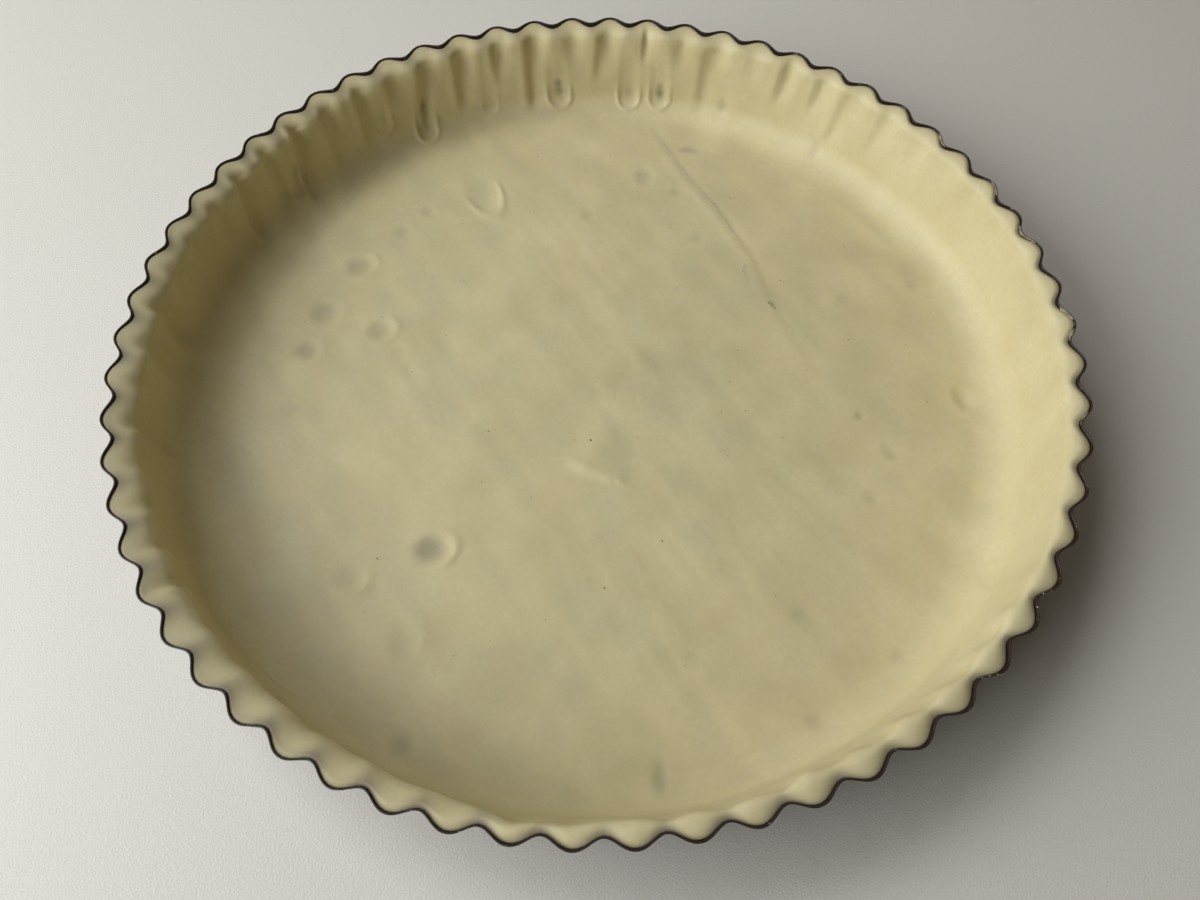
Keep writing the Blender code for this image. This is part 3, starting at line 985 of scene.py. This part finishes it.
# %% The crease's lips
# the lips' section, to the right and up, and which of its points get painted shade: the dark gap between them
LIPS = [(-1.1, -0.04), (-0.6, 0.02), (-0.3, 0), (0.25, 0), (0.6, 0.03), (1.3, -0.04), (0.7, -0.5),
    (-0.7, -0.5)]
PAINTED_GAP_SHADE = [0, 0, 1, 1, 0, 0, 0, 0]
LOOP = [(53.3, 49.2), (52.2, 48.0), (51.7, 46.5), (52.0, 45.0), (52.9, 43.6)]
CRACKS = [[(58.6, 32.8), (60.4, 31.6), (62.4, 30.9)], [(60.0, 33.4), (60.4, 31.6), (61.4, 29.6)]]
main_line = through(CREASE[:5], 0.7)
share = np.linspace(0, 1, len(main_line))
strong = np.interp(share, [0, 0.1, 0.35, 0.6, 0.85, 1], [0.0, 0.6, 0.8, 1.1, 0.8, 0.0])
strong = strong * (0.8 + 0.3 * line_noise(110 * share, 5, 61))
torn = [bar(main_line, LIPS, floor_at, strong)]
for line in (LOOP, *CRACKS):
    line = through(line, 0.35)
    swelling = 1.1 * np.sin(np.linspace(0.15, 0.98, len(line)) * math.pi) ** 0.5
    torn.append(bar(line, LIPS, floor_at, swelling))
lips = bars_object("crease_lips", torn)
# painted shade: the gap's points get grey, which draws the crease's dark line
mark(lips, "grey", 0.55 * np.tile(PAINTED_GAP_SHADE, len(lips.data.vertices) // len(LIPS)))
print("crease lips:", len(lips.data.polygons), "faces")

# %% Flakes that hang over the rim
# a flake's section, to the right and up
FLAKE = [(-0.9, -0.5), (-0.4, 0), (0, 0.1), (0.3, 0.04), (0.42, -0.3), (0.4, -0.9), (0.28, -0.5),
    (-0.6, -0.8)]
# from and to in degrees, size
FLAKES = [(31.5, 34.5, 0.6), (21.0, 25.0, 0.8), (12.4, 16.0, 0.7), (-3.0, 2.6, 1.0), (-15.0, -12.6, 0.5)]
flakes = []
for start, end, size in FLAKES:
    around = np.radians(np.arange(start, end, 0.18))
    rim_line = RIM_RADIUS - RIM_ROUND + RIM_RISE * flute(around)
    line = np.stack(polar(rim_line, around), axis=1)
    rim_mm = RIM_RADIUS * around + 900
    ragged = 0.7 + 0.5 * line_noise(rim_mm, 2.2, 62) + 0.2 * line_noise(rim_mm, 0.8, 63)
    tapered = np.clip(np.sin(np.linspace(0, 1, len(around)) * math.pi) * 3, 0.05, 1)
    flakes.append(bar(line, FLAKE, lambda x, y: TIN_HEIGHT - 0.02 + 0 * x, size * ragged * tapered))
flaked = bars_object("rim_flakes", flakes)
mark(flaked, "edge", 0.8 + 0.2 * np.sin(np.arange(len(flaked.data.vertices)) * 0.9))
print("flakes:", len(flakes))

# %% [markdown]
# ### Bran specks and crumbs
#
# Flour always carries a few flecks of bran, which show as dark specks in raw dough, and a few crumbs of
# dough cling to the rim. Both are small grains that lie at given points, so one Geometry Nodes tree sets
# a rough little ball on every point, each turned by chance and as large as its point says.

# %% A tree that sets grains on points
grains, add, given = tree_with_inputs("grains", ["Seed", "Flat", "Tilt", "Ragged"])
ball = add("GeometryNodeMeshIcoSphere", {"Radius": 1.0, "Subdivisions": 1})
size = add("GeometryNodeInputNamedAttribute", {"Name": "size"}, data_type="FLOAT")
low_size = add("Math", {0: size, 1: given["Flat"]}, operation="MULTIPLY")
scale = add("CombineXYZ", {"X": size, "Y": size, "Z": low_size})
most = add("CombineXYZ", {"X": given["Tilt"], "Y": given["Tilt"], "Z": 2 * math.pi})
chances = {0: (0.0, 0.0, 0.0), 1: most, "Seed": given["Seed"]}
turned = add("FunctionNodeRandomValue", chances, data_type="FLOAT_VECTOR")
setting = {"Points": given["Geometry"], "Instance": ball, "Rotation": turned, "Scale": scale}
plain = add("GeometryNodeRealizeInstances", {0: add("GeometryNodeInstanceOnPoints", setting)})
lumps = add("TexNoise", {"Scale": 1 / (0.5 * MM)}, 1)
pushed = add("VectorMath", {0: lumps, 1: (0.5, 0.5, 0.5)}, operation="SUBTRACT")
push = add("VectorMath", {0: pushed, "Scale": given["Ragged"]}, operation="SCALE")
rough = add("GeometryNodeSetPosition", {"Geometry": plain, "Offset": push})
dressed = add("GeometryNodeSetMaterial", {"Geometry": rough, "Material": given["Material"]})
add("NodeGroupOutput", {"Geometry": dressed}, give=None)


def grains_object(name, places, sizes, values):
    """A mesh object with one grain at every place, places and sizes in mm."""
    made = mesh_object(name, places, [])
    mark(made, "size", np.asarray(sizes, np.float32) * MM)
    run_tree(made, grains, values)
    print(name, len(places), "grains,", len(made.data.polygons), "faces")
    return made


# %% Bran in the floor
bran, add, shader, where = new_material("bran")
husk = add("TexNoise", {"Vector": where, "Scale": 1 / (0.4 * MM)})
browns = {"Factor": husk, "A": linear("7a6a4c"), "B": linear("9c8a62")}
feed(shader, {"Base Color": add("Mix", browns, "Result", data_type="RGBA"), "Roughness": 0.7})

# the larger specks, x and y, and their sizes; the small ones lie by chance within the spread, all in mm
BRAN = [(-2.1, -20.5), (-34.3, -16.5), (1.3, -69.0), (18.6, -54.7), (-64.9, -58.9), (-76.5, -104.3)]
BRAN_SIZES = [0.42, 0.34, 0.34, 0.34, 0.3, 0.38]
SMALL, SPREAD = 44, 108
chance = np.random.default_rng(71)
spread = SPREAD * np.sqrt(chance.uniform(0, 1, SMALL))
turn_by = chance.uniform(0, 2 * math.pi, SMALL)
bran_xy = np.concatenate([BRAN, np.stack(polar(spread, turn_by), axis=1)])
bran_size = np.concatenate([BRAN_SIZES, chance.uniform(0.16, 0.3, SMALL)])
bran_places = np.column_stack([bran_xy, floor_at(bran_xy[:, 0], bran_xy[:, 1]) + 0.02])
bran_values = {"Seed": 3, "Flat": 0.35, "Tilt": 0.3, "Ragged": 0.2 * MM, "Material": bran}
bran_specks = grains_object("bran_specks", bran_places, bran_size, bran_values)

# %% Crumbs on the rim
# degrees, how many, spread in degrees
CRUMBS = [(-40, 7, 3), (-48, 9, 2.4), (3, 6, 2.5), (23, 5, 2.5), (34, 5, 2.5)]
crumb_turn = [at + chance.uniform(-wide, wide, count) for at, count, wide in CRUMBS]
crumb_turn = np.radians(np.concatenate(crumb_turn))
crumb_out = chance.uniform(-0.1, 0.45, len(crumb_turn))
crumb_r = RIM_RADIUS - RIM_ROUND + RIM_RISE * flute(crumb_turn) + crumb_out
crumb_z = TIN_HEIGHT - 0.05 - 1.6 * np.clip(crumb_out, 0, 1)
crumb_places = np.column_stack([*polar(crumb_r, crumb_turn), crumb_z])
crumb_values = {"Seed": 5, "Flat": 0.7, "Tilt": 3.0, "Ragged": 0.3 * MM, "Material": dough}
crumb_size = chance.uniform(0.16, 0.34, len(crumb_turn))
crumbs = grains_object("rim_crumbs", crumb_places, crumb_size, crumb_values)

# %% [markdown]
# ## Hiding the plain solids that the pieces stand for
#
# Both pieces ride on the one body that this part has. Each hides the plain solid that it stands for.

# %% Attach the pieces and hide the plain solids
stands_for = [(tin, "quiche_tin", "tin")]
stands_for += [(piece, "pastry_case", "pastry") for piece in (pastry, lips, flaked, bran_specks, crumbs)]
for piece, node, slot in stands_for:
    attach(piece, "root")
    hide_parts(node)
